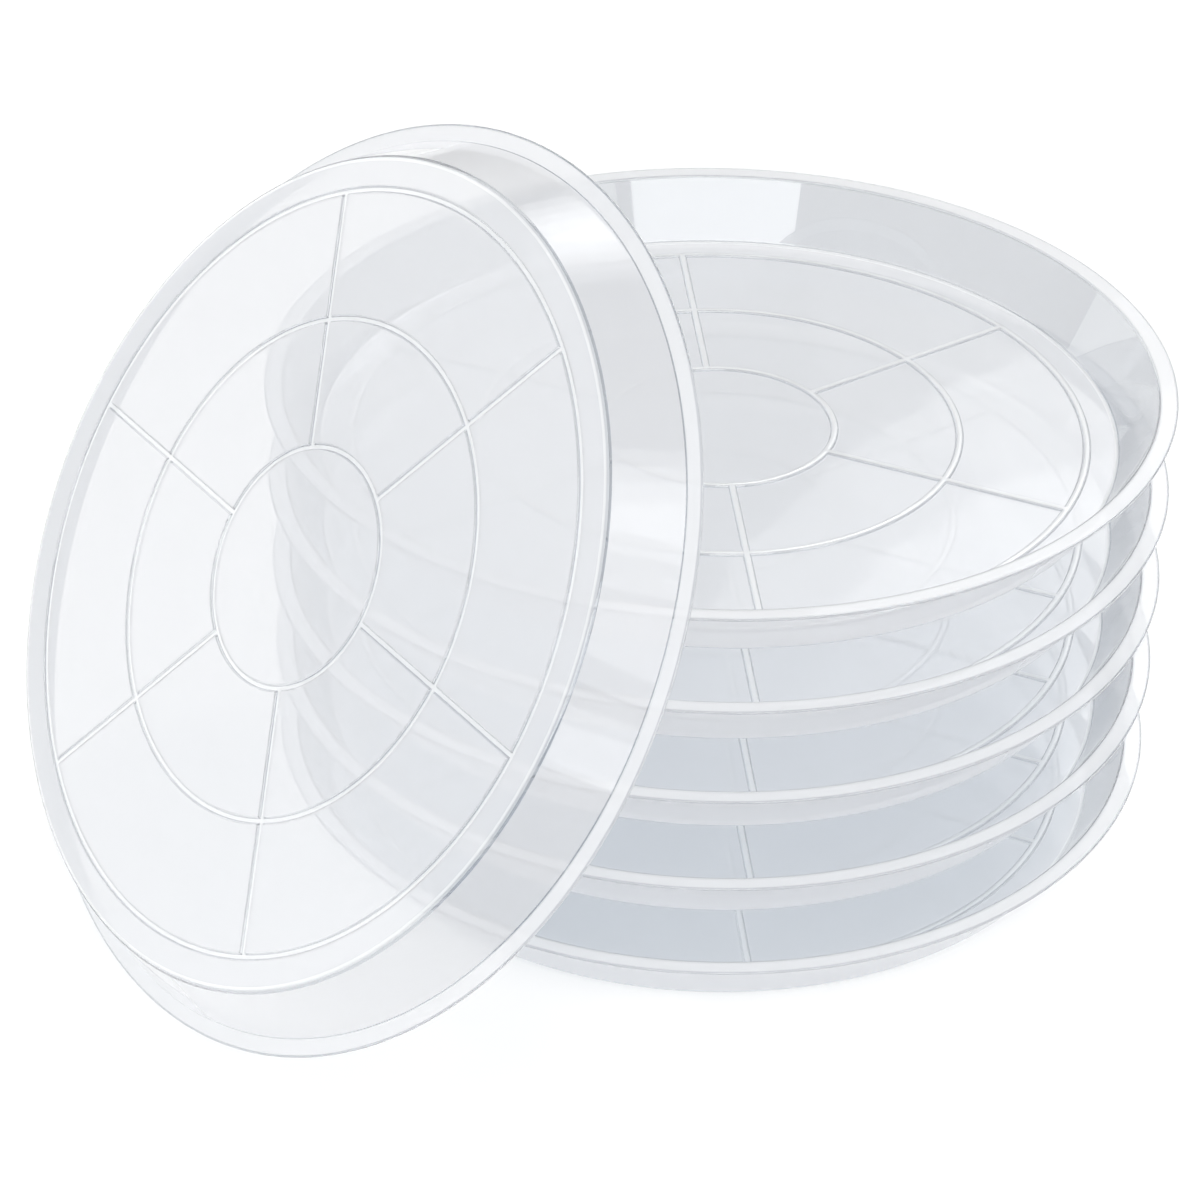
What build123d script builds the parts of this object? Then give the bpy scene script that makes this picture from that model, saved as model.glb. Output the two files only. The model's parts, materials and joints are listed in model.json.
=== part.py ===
"""Six identical clear plastic plant saucers.

Five are held level, one above another on one axis. The sixth leans over their left side, with its
foot on the floor and its mouth towards them. Millimetres, +Z up. The origin is on the floor, at the
middle of the lowest saucer's underside.
"""

import os
from math import cos, radians, sin

from build123d import *

# One saucer, formed from a single sheet
rim_radius = 150.0
rim_width = 6.0
inner_depth = 21.5  # from the rim's top face down to the floor
floor_radius = 132.2  # inside, where the wall meets the floor
sheet = 0.8
floor_bend_radius = 1.6  # inside bend between the floor and the wall
rim_bend_radius = 0.8  # bend between the wall and the rim's top face

# Ribs pressed up from the floor, each hollow underneath
ring_radii = (122.0, 80.0, 38.5)
spoke_count = 6
rib_width = 2.8
rib_height = 0.8
groove_width = 1.2

# The column
saucer_pitch = 33.4
column_names = ("bottom_saucer", "second_saucer", "third_saucer", "fourth_saucer", "top_saucer")
column_spoke_angle = 0.0  # from +X

# The leaning saucer
lean_tilt = 56.3  # between its rim and the floor
lean_gap = 0.4  # between its floor and the edge of the top saucer's rim
lean_spoke_angle = 30.0  # from its lowest rim point

saucer_height = inner_depth + sheet


def rib_plan(seat, width, spoke_angle):
    """The ribs seen from above: three rings, and spokes from the outer ring to the inner one."""
    outer_ring, inner_ring = ring_radii[0], ring_radii[-1]
    with BuildSketch(seat) as plan:
        for radius in ring_radii:
            Circle(radius + width / 2)
            Circle(radius - width / 2, mode=Mode.SUBTRACT)
        with PolarLocations((outer_ring + inner_ring) / 2, spoke_count, start_angle=spoke_angle):
            Rectangle(outer_ring - inner_ring, width)
    return plan.sketch


def saucer(seat, spoke_angle):
    """One saucer standing on a plane, with its mouth along the plane's normal."""
    ribs = rib_plan(seat, rib_width, spoke_angle)
    grooves = rib_plan(seat, groove_width, spoke_angle)
    section_plane = Plane(seat.origin, x_dir=seat.x_dir, z_dir=-seat.y_dir)
    with BuildPart(seat) as dish:
        with BuildSketch(section_plane):
            with BuildLine() as inside_face:
                Polyline(
                    (0, sheet),
                    (floor_radius, sheet),
                    (rim_radius - rim_width, saucer_height),
                    (rim_radius, saucer_height),
                )
                floor_bend, rim_bend = inside_face.vertices().sort_by(Axis.X)[1:3]
                fillet(floor_bend, radius=floor_bend_radius)
                fillet(rim_bend, radius=rim_bend_radius)
                offset(amount=sheet, side=Side.RIGHT)
            make_face()
        revolve(axis=Axis(seat.origin, seat.z_dir))
        extrude(ribs, amount=sheet + rib_height)
        extrude(grooves, amount=rib_height, mode=Mode.SUBTRACT)
    return dish.part


def column_seat(level):
    """The plane that a saucer of the column stands on, counted up from 0."""
    return Plane.XY.offset(level * saucer_pitch)


def leaning_seat():
    """The underside's plane of the leaning saucer, with x towards its lowest rim point.

    That point is on the floor, and the saucer's own floor rests on the top saucer's rim.
    """
    tilt = radians(lean_tilt)
    mouth = Vector(sin(tilt), 0, -cos(tilt))
    downhill = Vector(-cos(tilt), 0, -sin(tilt))
    top_rim_height = (len(column_names) - 1) * saucer_pitch + saucer_height
    mouth_middle_height = rim_radius * sin(tilt)
    drop = top_rim_height - mouth_middle_height
    reach = (inner_depth - lean_gap - drop * cos(tilt)) / sin(tilt)
    mouth_middle = Vector(reach - rim_radius, 0, mouth_middle_height)
    return Plane(mouth_middle - mouth * saucer_height, x_dir=downhill, z_dir=mouth)


os.makedirs("parts", exist_ok=True)

for level, name in enumerate(column_names):
    column_saucer = saucer(column_seat(level), column_spoke_angle)
    column_saucer.label = name
    export_step(column_saucer, f"parts/{name}.step")

leaning_saucer = saucer(leaning_seat(), lean_spoke_angle)
leaning_saucer.label = "leaning_saucer"
export_step(leaning_saucer, "parts/leaning_saucer.step")
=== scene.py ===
"""Six clear plastic plant saucers, five in a level column and one leaning, in a white studio."""

import json
from math import asin, atan, atan2, cos, degrees, hypot, pi, radians, sin, tan

import bpy
from mathutils import Matrix, Quaternion, Vector


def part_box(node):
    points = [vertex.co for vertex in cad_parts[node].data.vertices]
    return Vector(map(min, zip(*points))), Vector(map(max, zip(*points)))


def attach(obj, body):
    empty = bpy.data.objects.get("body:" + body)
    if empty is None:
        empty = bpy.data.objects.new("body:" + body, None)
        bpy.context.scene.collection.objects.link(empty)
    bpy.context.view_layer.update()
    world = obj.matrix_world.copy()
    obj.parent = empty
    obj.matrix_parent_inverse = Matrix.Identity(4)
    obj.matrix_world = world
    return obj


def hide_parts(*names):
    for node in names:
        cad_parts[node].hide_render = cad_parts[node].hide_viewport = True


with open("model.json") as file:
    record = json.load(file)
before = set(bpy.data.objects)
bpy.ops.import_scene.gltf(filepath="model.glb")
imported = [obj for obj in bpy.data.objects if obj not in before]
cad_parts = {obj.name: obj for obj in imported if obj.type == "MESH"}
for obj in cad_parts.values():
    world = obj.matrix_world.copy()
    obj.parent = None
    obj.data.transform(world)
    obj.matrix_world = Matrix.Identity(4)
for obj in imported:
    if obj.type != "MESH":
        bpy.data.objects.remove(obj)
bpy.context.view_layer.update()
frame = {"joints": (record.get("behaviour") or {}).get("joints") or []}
bpy.ops.object.select_all(action="DESELECT")


# The saucer's section. The real saucer is one thin sheet of clear plastic, drawn into a mould by
# heat and vacuum and trimmed round its rim: a flat floor, a flared wall and a narrow flat rim.
# Metres, radius from its axis against height above its underside.
saucer_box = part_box("bottom_saucer")
rim_radius = (saucer_box[1].x - saucer_box[0].x) / 2
saucer_height = saucer_box[1].z - saucer_box[0].z
rim_width = 0.006
rim_inner = rim_radius - rim_width
floor_radius = 0.1322
sheet = 0.0008
ring_radii = (0.0385, 0.080, 0.122)
rib_rise = 0.0008
rib_foot, rib_crest = 0.0014, 0.0008
groove_foot, groove_crest = 0.00115, 0.00055
flank_steps = bend_steps = 6
columns_round = 360


def smooth_rise(offset, foot, crest):
    """How far up a rib's rounded flank a point is, from 0 at its foot to 1 at its crest."""
    share = min(max((foot - abs(offset)) / (foot - crest), 0.0), 1.0)
    return share * share * (3 - 2 * share)


def straight(start, end, hold=0.0003):
    """Points between two bends, with one held close to each so that the shading stays flat."""
    length = (end - start).length
    if length < 4 * hold:
        return []
    shares = (hold / length, 0.25, 0.5, 0.75, 1 - hold / length)
    return [start.lerp(end, share) for share in shares]


def ribbed_floor(height, foot, crest):
    """The floor's line from the axis out to the last ring, over each ring rib."""
    points = [Vector((0.0, height))]
    for ring in ring_radii:
        points += straight(points[-1], Vector((ring - foot, height)))
        flank = [foot + (crest - foot) * k / flank_steps for k in range(flank_steps + 1)]
        for offset in [-x for x in flank] + flank[::-1]:
            lift = rib_rise * smooth_rise(offset, foot, crest)
            points.append(Vector((ring + offset, height + lift)))
    return points


def bend(before, corner, after, radius, steps):
    """The arc that rounds a corner of the sheet."""
    back, ahead = (before - corner).normalized(), (after - corner).normalized()
    half_angle = back.angle(ahead) / 2
    centre = corner + (back + ahead).normalized() * radius / sin(half_angle)
    start = corner + back * radius / tan(half_angle)
    sweep = pi - 2 * half_angle
    turn = 1 if (start - centre).cross(corner - start) > 0 else -1
    spoke = start - centre
    arc = []
    for k in range(steps + 1):
        angle = turn * sweep * k / steps
        arc.append(centre + Vector((spoke.x * cos(angle) - spoke.y * sin(angle),
                                    spoke.x * sin(angle) + spoke.y * cos(angle))))
    return arc


wall_slope = atan2(saucer_height - sheet, rim_inner - floor_radius)
outward = sheet * tan(wall_slope / 2)
top_line = [Vector((0, sheet)), Vector((floor_radius, sheet)),
            Vector((rim_inner, saucer_height)), Vector((rim_radius, saucer_height))]
under_line = [Vector((rim_radius, saucer_height - sheet)),
              Vector((rim_inner + outward, saucer_height - sheet)),
              Vector((floor_radius + outward, 0)), Vector((0, 0))]
corners = top_line + under_line
bend_radii = (0.0016, 0.0013, 0.00039, 0.00039, 0.0006, 0.0024)
section = ribbed_floor(sheet, rib_foot, rib_crest)
for at, radius in enumerate(bend_radii, start=1):
    arc = bend(corners[at - 1], corners[at], corners[at + 1], radius, bend_steps)
    section += straight(section[-1], arc[0]) + arc
grooves = ribbed_floor(0.0, groove_foot, groove_crest)[::-1]
section += straight(section[-1], grooves[0]) + grooves

outline = bpy.data.meshes.new("saucer")
edges = [(k, k + 1) for k in range(len(section) - 1)]
outline.from_pydata([(p.x, 0, p.y) for p in section], edges, [])
saucer = bpy.data.objects.new("saucer", outline)
bpy.context.scene.collection.objects.link(saucer)
bpy.context.view_layer.objects.active = saucer
saucer.select_set(True)
bpy.ops.object.mode_set(mode="EDIT")
bpy.ops.mesh.select_all(action="SELECT")
bpy.ops.mesh.spin(steps=columns_round, angle=2 * pi, center=(0, 0, 0), axis=(0, 0, 1))
bpy.ops.mesh.select_all(action="SELECT")
bpy.ops.mesh.remove_doubles(threshold=1e-6)
bpy.ops.mesh.normals_make_consistent(inside=False)
bpy.ops.object.mode_set(mode="OBJECT")


# The spokes. Six ribs run from the inner ring to the outer one, pressed up from the floor with the
# rings. The turned mesh has a column of points at each degree; the nine on each side of a spoke
# are drawn together to lie along it, and then the spoke's own are raised. Past the rings they are
# let back to their own angle, which they reach at the two radii given last.
spoke_spacing = 60
half_spacing = spoke_spacing / 2
column_gap = 0.0002
near_columns = 9
let_go_inside, let_go_outside = 0.024, floor_radius - 0.001


def beside_spoke(point):
    """A point's nearest spoke, its turn from that once drawn along it, and its radius."""
    radius = hypot(point.x, point.y)
    around = degrees(atan2(point.y, point.x))
    nearest = spoke_spacing * round(around / spoke_spacing)
    column = round(around - nearest)
    held = min(max(radius, ring_radii[0] - rib_foot), ring_radii[-1] + rib_foot)
    edge = asin(near_columns * column_gap / held)
    if abs(column) <= near_columns:
        drawn = asin(column * column_gap / held)
    else:
        share = (abs(column) - near_columns) / (half_spacing - near_columns)
        drawn = (edge + share * (radians(half_spacing) - edge)) * (1 if column > 0 else -1)
    release = max((held - radius) / (held - let_go_inside),
                  (radius - held) / (let_go_outside - held), 0.0)
    release = min(release, 1.0)
    return nearest, drawn + (radians(column) - drawn) * release, radius


def spoked(point, upper):
    """Where a point of the turned floor goes, so that the spokes stand up from it."""
    if hypot(point.x, point.y) < 1e-5:
        return point
    nearest, turn, radius = beside_spoke(point)
    angle = radians(nearest) + turn
    height = point.z
    if ring_radii[0] <= radius <= ring_radii[-1]:
        foot, crest = (rib_foot, rib_crest) if upper else (groove_foot, groove_crest)
        lift = rib_rise * smooth_rise(radius * sin(turn), foot, crest)
        height = max(height, lift + (sheet if upper else 0.0))
    return Vector((radius * cos(angle), radius * sin(angle), height))


turned = [(vertex.co.copy(), vertex.normal.z > 0) for vertex in saucer.data.vertices]
for vertex, (point, upper) in zip(saucer.data.vertices, turned):
    vertex.co = spoked(point, upper)

bpy.ops.object.shade_smooth()


def srgb(hex_colour):
    """An sRGB hex colour as the linear one that the shaders take."""
    parts = [int(hex_colour[k:k + 2], 16) / 255 for k in (1, 3, 5)]
    linear = tuple(c / 12.92 if c <= 0.04045 else ((c + 0.055) / 1.055) ** 2.4 for c in parts)
    return linear + (1.0,)


def node(tree, kind, inputs=None, **settings):
    """Adds a node with its settings, and gives its inputs their values or links."""
    made = tree.nodes.new(kind)
    for name, value in settings.items():
        setattr(made, name, value)
    for name, value in (inputs or {}).items():
        socket = made.inputs[name]
        if isinstance(value, bpy.types.NodeSocket):
            tree.links.new(value, socket)
        else:
            socket.default_value = value
    return made


# Clear PET, thermoformed. The floor keeps the sheet's clarity. Painted shade and light: the wall's
# inner face is tinted greyer, its outer face is whitened, the rim is whitened as a highlight, the
# bends and rib flanks are tinted darker and the rib crests are whitened. Glossy, and a little wavy
# from the mould, so that reflections bend; handling leaves it a slight haze. Noise scale counts to
# the metre here: 18 gives waves about 55 mm apart, and 60 gives patches of haze about 17 mm across.
def clear_pet(name, tint, shade, whitening):
    """Clear sheet of a tint, passing on the shade to what lies under it, part whitened."""
    material = bpy.data.materials.new(name)
    material.use_nodes = True
    tree = material.node_tree
    tree.nodes.clear()
    place = node(tree, "ShaderNodeTexCoord").outputs["Object"]
    waves = node(tree, "ShaderNodeTexNoise", {"Vector": place, "Scale": 18.0, "Detail": 1.0})
    bumps = node(tree, "ShaderNodeBump", {
        "Height": waves.outputs["Fac"], "Strength": 0.25, "Distance": 0.0006})
    handling = node(tree, "ShaderNodeTexNoise", {"Vector": place, "Scale": 60.0, "Detail": 4.0})
    haze = node(tree, "ShaderNodeMapRange", {
        "Value": handling.outputs["Fac"], "From Min": 0.4, "From Max": 0.75,
        "To Min": 0.02, "To Max": 0.06})
    surface = node(tree, "ShaderNodeBsdfPrincipled", {
        "Base Color": srgb(tint), "Roughness": haze.outputs["Result"], "IOR": 1.57,
        "Transmission Weight": 1.0 - whitening, "Normal": bumps.outputs["Normal"]}).outputs[0]
    thrown = node(tree, "ShaderNodeBsdfTransparent", {"Color": srgb(shade)})
    path = node(tree, "ShaderNodeLightPath")
    lit = node(tree, "ShaderNodeMath", {
        0: path.outputs["Is Shadow Ray"], 1: path.outputs["Is Diffuse Ray"]}, operation="MAXIMUM")
    both = node(tree, "ShaderNodeMixShader", {
        0: lit.outputs[0], 1: surface, 2: thrown.outputs[0]})
    node(tree, "ShaderNodeOutputMaterial", {"Surface": both.outputs[0]})
    return material


floor_pet, fold_shade_pet, inside_shade_pet, outside_lit_pet, rim_highlight_pet, crest_highlight_pet, flank_shade_pet = range(7)
for finish in (clear_pet("clear_pet_floor", "#F0F1F3", "#F7F8F9", 0.34),
               # The bends, the rim's edge and the rim's inner line are tinted darker grey: painted
               # shade.
               clear_pet("clear_pet_fold_painted_shade", "#D3D6DA", "#FFFFFF", 0.0),
               # The wall's inner face is tinted greyer than the floor: painted shade.
               clear_pet("clear_pet_wall_inside_painted_shade", "#C1C5C9", "#FFFFFF", 0.0),
               # The wall's outer face is whitened so that the near walls look lit: painted light.
               clear_pet("clear_pet_wall_outside_painted_light", "#F7F7F9", "#FFFFFF", 0.42),
               # The rim is whitened to stand in for its bright reflection: a painted highlight.
               clear_pet("clear_pet_rim_painted_highlight", "#EDEEF0", "#FFFFFF", 0.5),
               # Rib crests, and a strip at the floor's edge, are whitened: painted highlight.
               clear_pet("clear_pet_rib_crest_painted_highlight", "#F5F6F7", "#F7F8F9", 0.42),
               # Rib flanks are tinted darker than the floor: painted shade.
               clear_pet("clear_pet_rib_flank_painted_shade", "#E2E4E7", "#FFFFFF", 0.15)):
    saucer.data.materials.append(finish)


def off_rib(point):
    """How far a point of the floor is from the middle of the nearest ring or spoke."""
    from_axis = hypot(point.x, point.y)
    off = min(abs(from_axis - ring) for ring in ring_radii)
    if ring_radii[0] < from_axis < ring_radii[-1]:
        around = atan2(point.y, point.x)
        spoke = spoke_spacing * round(degrees(around) / spoke_spacing)
        across = from_axis * sin(around - radians(spoke))
        off = min(off, abs(across))
    return off


# How far the bends' painted shade reaches: in from the rim's edge, to each side of the rim's inner
# line, and outwards from the floor's edge. Inwards of that edge a strip is whitened like the rib
# crests, a painted highlight.
rim_edge_reach, rim_line_reach = 0.0006, 0.0004
floor_fold_width, floor_strip_width = 0.0012, 0.0010
for face in saucer.data.polygons:
    middle = face.center
    from_axis = hypot(middle.x, middle.y)
    if from_axis > rim_radius - rim_edge_reach or abs(from_axis - rim_inner) < rim_line_reach:
        face.material_index = fold_shade_pet
    elif from_axis > rim_inner:
        face.material_index = rim_highlight_pet
    elif from_axis > floor_radius + floor_fold_width:
        # Inner faces of the wall take painted shade, outer faces painted light.
        inwards = face.normal.x * middle.x + face.normal.y * middle.y < 0
        face.material_index = inside_shade_pet if inwards else outside_lit_pet
    elif from_axis > floor_radius:
        face.material_index = fold_shade_pet
    elif from_axis > floor_radius - floor_strip_width:
        # The strip at the floor's edge is whitened as a painted highlight.
        face.material_index = crest_highlight_pet
    else:
        foot, crest = (rib_foot, rib_crest) if face.normal.z > 0 else (groove_foot, groove_crest)
        off = off_rib(middle)
        # Rib crests take the painted highlight, their flanks the painted shade.
        if off < crest:
            face.material_index = crest_highlight_pet
        elif off < foot:
            face.material_index = flank_shade_pet
        else:
            face.material_index = floor_pet


# The column. Five of the thermoformed PET saucers, all of one shape, stand level on one axis
# with air between them. Nothing is seen to hold them up, and each is on its own body.
for name in ("bottom_saucer", "second_saucer", "third_saucer", "fourth_saucer", "top_saucer"):
    piece = saucer.copy()
    piece.data = saucer.data.copy()
    piece.name = piece.data.name = name + "_shell"
    bpy.context.scene.collection.objects.link(piece)
    piece.data.transform(Matrix.Translation((0, 0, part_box(name)[0].z)))
    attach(piece, name)
    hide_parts(name)


# The leaning saucer. It is the same thermoformed PET saucer, turned by half the spokes' spacing. It
# stands on one point of its rim with its mouth towards the column, tilted so far that its floor
# just clears the top saucer's rim.
leaning_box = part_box("leaning_saucer")
lean_height = leaning_box[1].z - leaning_box[0].z
lean_tilt = asin(lean_height / hypot(2 * rim_radius, sheet)) - atan(sheet / (2 * rim_radius))
foot = next(Vector(joint["pos_m"]) for joint in frame["joints"]
            if joint["name"] == "leaning_saucer_tip")
mouth = Vector((sin(lean_tilt), 0, -cos(lean_tilt)))
downhill = Vector((-cos(lean_tilt), 0, -sin(lean_tilt)))
underside_middle = foot - downhill * rim_radius - mouth * saucer_height
facing = Matrix((downhill, mouth.cross(downhill), mouth)).transposed().to_4x4()
stand = Matrix.Translation(underside_middle) @ facing
between_spokes = Matrix.Rotation(radians(half_spacing), 4, "Z")
piece = saucer.copy()
piece.data = saucer.data.copy()
piece.name = piece.data.name = "leaning_saucer_shell"
bpy.context.scene.collection.objects.link(piece)
piece.data.transform(stand @ between_spokes)
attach(piece, "leaning_saucer")
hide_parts("leaning_saucer")
bpy.data.objects.remove(saucer)


# The studio. A white painted floor, dead matt, lit from above until it has no tone of its own. The
# noise runs 900 to the floor's 24 m, so its faint mottling is about 27 mm across.
floor_reach = 12.0
floor_drop = 0.0004


def matt_white():
    """Matt white paint: it scatters light evenly and gives no reflection."""
    material = bpy.data.materials.new("matt_white_floor")
    material.use_nodes = True
    tree = material.node_tree
    tree.nodes.clear()
    grain = node(tree, "ShaderNodeTexNoise", {"Scale": 900.0, "Detail": 2.0})
    shade = node(tree, "ShaderNodeMapRange", {
        "Value": grain.outputs["Fac"], "To Min": 0.93, "To Max": 0.95})
    surface = node(tree, "ShaderNodeBsdfDiffuse", {
        "Color": shade.outputs["Result"], "Roughness": 1.0})
    node(tree, "ShaderNodeOutputMaterial", {"Surface": surface.outputs[0]})
    return material


bpy.ops.mesh.primitive_circle_add(vertices=96, radius=floor_reach, fill_type="NGON",
                                  location=(0, 0, -floor_drop))
floor = bpy.context.object
floor.name = "studio_floor"
floor.data.materials.append(matt_white())


sun = bpy.data.lights.new("overhead_light", "SUN")
sun.energy = 1.9
sun.angle = radians(14)
overhead = bpy.data.objects.new("overhead_light", sun)
overhead.visible_glossy = False
overhead.visible_transmission = False
bpy.context.scene.collection.objects.link(overhead)


# The camera's side, in degrees round from the front, and how far off the panels stand.
camera_side = -35.0
panel_distance = 3.0
layer_gap = 0.01


def light_panel(name, around, up, width, height, brightness, shape="ELLIPSE", layers=3):
    """Panels of light that show only as reflections, at angles in degrees from the camera's side
    and from level. Smaller ones over larger ones fade the edge."""
    turn = radians(camera_side + around)
    level = cos(radians(up))
    towards = Vector((sin(turn) * level, -cos(turn) * level, sin(radians(up))))
    for layer in range(layers):
        share = 1.0 - layer / (layers + 0.5)
        lamp = bpy.data.lights.new(name, "AREA")
        lamp.shape = shape
        lamp.size, lamp.size_y = width * share, height * share
        lit_area = lamp.size * lamp.size_y * (pi / 4 if shape == "ELLIPSE" else 1.0)
        lamp.energy = brightness / layers * pi * lit_area
        holder = bpy.data.objects.new(name, lamp)
        holder.location = towards * (panel_distance - layer_gap * layer)
        holder.rotation_mode = "QUATERNION"
        holder.rotation_quaternion = (-towards).to_track_quat("-Z", "Y")
        holder.visible_diffuse = False
        holder.visible_camera = False
        bpy.context.scene.collection.objects.link(holder)


light_panel("front_box", 1, 32, 2.2, 1.4, 2.9, shape="RECTANGLE", layers=1)
light_panel("right_high_box", 58, 45, 2.0, 1.5, 3.0, layers=4)
light_panel("right_box", 42, 22, 1.6, 1.7, 2.8)
light_panel("right_low_box", 24, 4, 1.6, 1.2, 2.6)
light_panel("back_high_box", 162, 43, 1.5, 1.5, 2.8, layers=5)
light_panel("back_box", 148, 27, 2.8, 2.0, 0.9, layers=8)
light_panel("left_box", -137, 10, 2.2, 2.2, 0.9, shape="RECTANGLE", layers=1)

# The air of the studio is brighter to the camera than to the saucers, so that it reads as white.
air_as_light, air_as_seen = 0.42, 1.1
world = bpy.data.worlds.new("studio_air")
bpy.context.scene.world = world
world.use_nodes = True
tree = world.node_tree
tree.nodes.clear()
path = node(tree, "ShaderNodeLightPath")
tone = node(tree, "ShaderNodeMapRange", {
    "Value": path.outputs["Is Camera Ray"], "To Min": air_as_light, "To Max": air_as_seen})
air = node(tree, "ShaderNodeBackground", {
    "Color": srgb("#FFFFFF"), "Strength": tone.outputs["Result"]})
node(tree, "ShaderNodeOutputWorld", {"Surface": air.outputs[0]})

# Low fills round the set light the walls and reach in between the saucers. They don't show in
# reflections.
fill_distance, fill_height = 3.0, 0.65
column_middle = Vector((0, 0, 0.1))
for around, watts in ((-10, 26.0), (-75, 18.0), (80, 10.0), (180, 9.0)):
    fill = bpy.data.lights.new("low_fill", "AREA")
    fill.shape = "RECTANGLE"
    fill.size, fill.size_y = 2.4, 0.9
    fill.energy = watts
    turn = radians(camera_side + around)
    holder = bpy.data.objects.new("low_fill", fill)
    holder.location = (fill_distance * sin(turn), -fill_distance * cos(turn), fill_height)
    holder.rotation_mode = "QUATERNION"
    holder.rotation_quaternion = (column_middle - holder.location).to_track_quat("-Z", "Y")
    holder.visible_glossy = False
    holder.visible_transmission = False
    holder.visible_camera = False
    bpy.context.scene.collection.objects.link(holder)


# The camera, at the left front and above.
camera_data = bpy.data.cameras.new("camera")
camera_data.lens = 106.7
camera_data.clip_start = 0.05
camera = bpy.data.objects.new("camera", camera_data)
bpy.context.scene.collection.objects.link(camera)
camera.location = (-0.6196, -0.8181, 0.7337)
look = Vector((0.47982, 0.68642, -0.54644))
roll = Quaternion((0, 0, 1), radians(0.565))
camera.rotation_mode = "QUATERNION"
camera.rotation_quaternion = look.to_track_quat("-Z", "Y") @ roll
bpy.context.scene.camera = camera

scene = bpy.context.scene
scene.view_settings.view_transform = "Standard"
scene.cycles.max_bounces = 40
scene.cycles.transmission_bounces = 40
scene.cycles.transparent_max_bounces = 60
